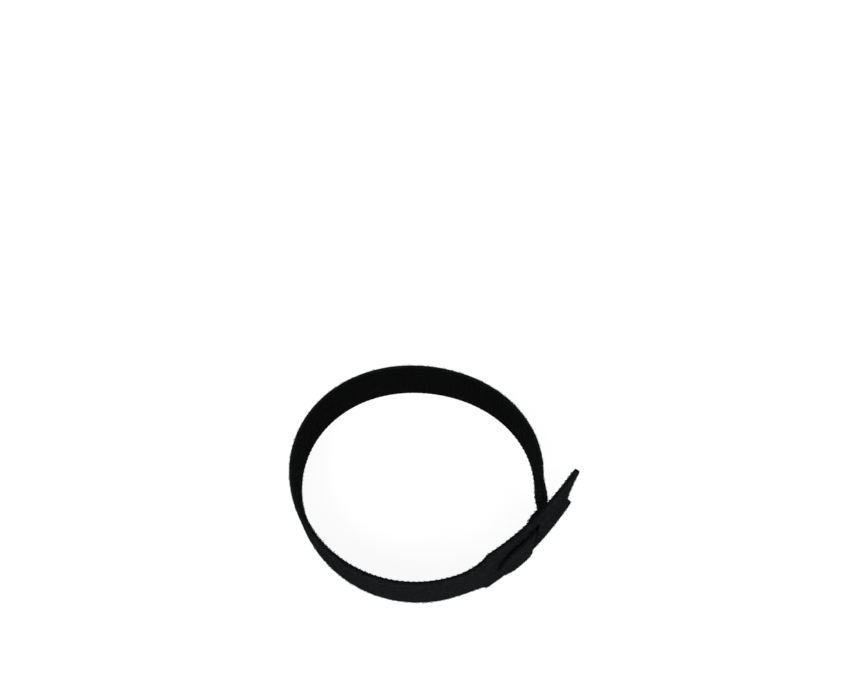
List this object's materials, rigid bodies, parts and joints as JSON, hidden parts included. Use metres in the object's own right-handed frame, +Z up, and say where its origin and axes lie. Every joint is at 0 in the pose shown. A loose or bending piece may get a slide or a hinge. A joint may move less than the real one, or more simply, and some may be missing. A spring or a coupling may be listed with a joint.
{
  "type": "hook and loop cable tie",
  "caption": "Narrow black hook and loop cable tie closed into a round loop, its tail passed through the slot of its T-shaped head.",
  "frame": {"origin": "bottom centre of the bounding box, on the surface that the closed tie stands on", "axes": "+Z up from that surface, +X along the longest side of the box, towards the head's free end"},
  "size_m": [0.066, 0.0548, 0.0201],
  "materials": {
    "hook_loop_tape": "matt woven tape, hooks on the inner face and loop pile on the outer face"
  },
  "bodies": {
    "root": {"cable_tie": "hook_loop_tape"}
  },
  "joints": []
}
